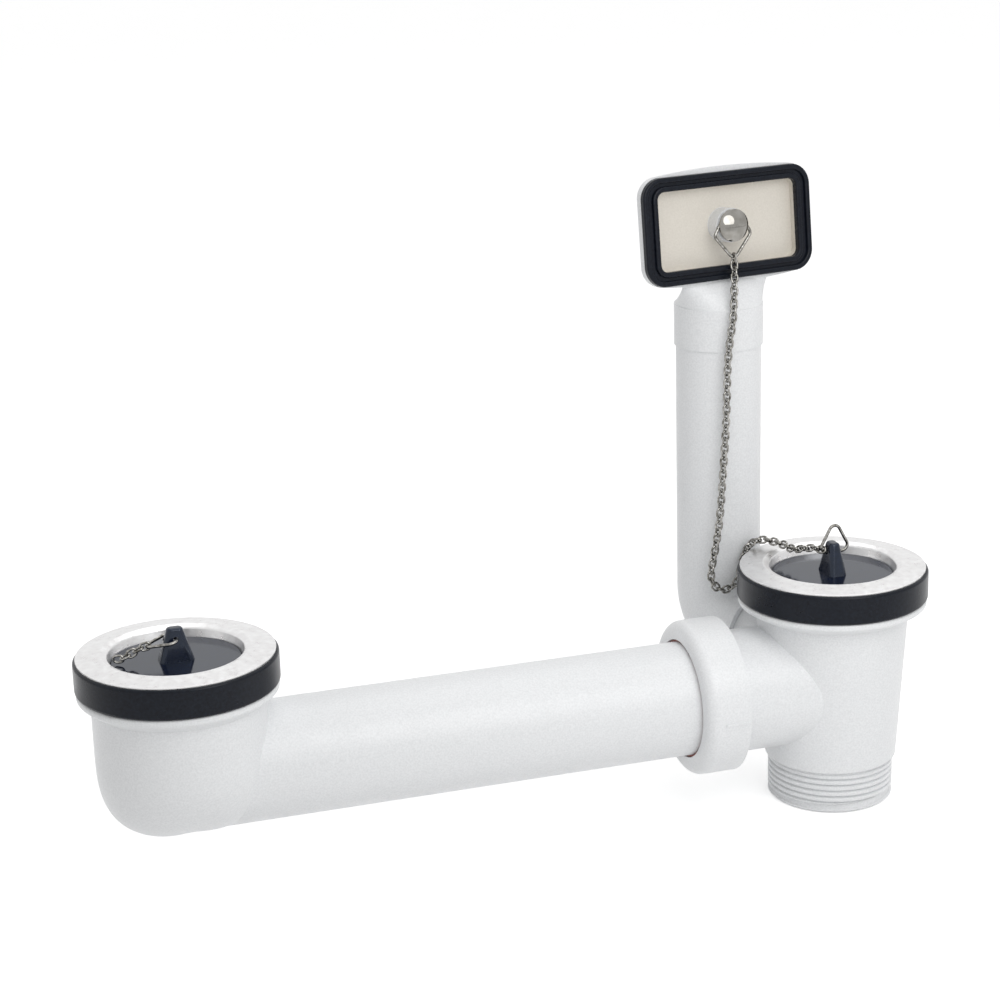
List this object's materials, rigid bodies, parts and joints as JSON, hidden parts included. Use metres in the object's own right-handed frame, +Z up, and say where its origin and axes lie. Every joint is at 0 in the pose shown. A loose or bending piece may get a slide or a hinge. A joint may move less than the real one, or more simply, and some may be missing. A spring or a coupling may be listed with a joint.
{
  "type": "double sink waste and overflow kit",
  "caption": "Double-bowl sink waste kit: white plastic wastes joined by a pipe and compression nut, threaded outlet, plugs on chains and a riser with a rectangular overflow head",
  "frame": {"origin": "on the axis of the right bowl's waste, in the plane where the sink sits on the gasket", "axes": "+Z up out of the sink seat, +X from the left bowl to the right bowl, +Y to the back with the overflow"},
  "size_m": [0.323, 0.1067, 0.2385],
  "materials": {
    "white_plastic": "satin moulded polypropylene, cool white",
    "black_rubber": "matte black rubber with a bluish sheen",
    "flange_steel": "pressed stainless steel, finely brushed",
    "brass": "plain brass",
    "chrome_wire": "bright plated",
    "plug_black": "glossy black",
    "seal_brown": "reddish-brown rubber"
  },
  "bodies": {
    "root": {"compression_nut": "white_plastic", "compression_seal": "seal_brown", "left_chain": "chrome_wire", "left_flange": "flange_steel", "left_flange_screw": "chrome_wire", "left_gasket": "black_rubber", "left_insert": "brass", "left_plug": "plug_black", "left_shackle": "chrome_wire", "left_waste_body": "white_plastic", "overflow_gasket": "black_rubber", "overflow_head": "white_plastic", "overflow_insert": "brass", "overflow_riser": "white_plastic", "overflow_screw": "chrome_wire", "overflow_shackle": "chrome_wire", "right_chain": "chrome_wire", "right_flange": "flange_steel", "right_flange_screw": "chrome_wire", "right_gasket": "black_rubber", "right_insert": "brass", "right_plug": "plug_black", "right_shackle": "chrome_wire", "right_waste_body": "white_plastic", "spigot_seal": "black_rubber"}
  },
  "joints": []
}
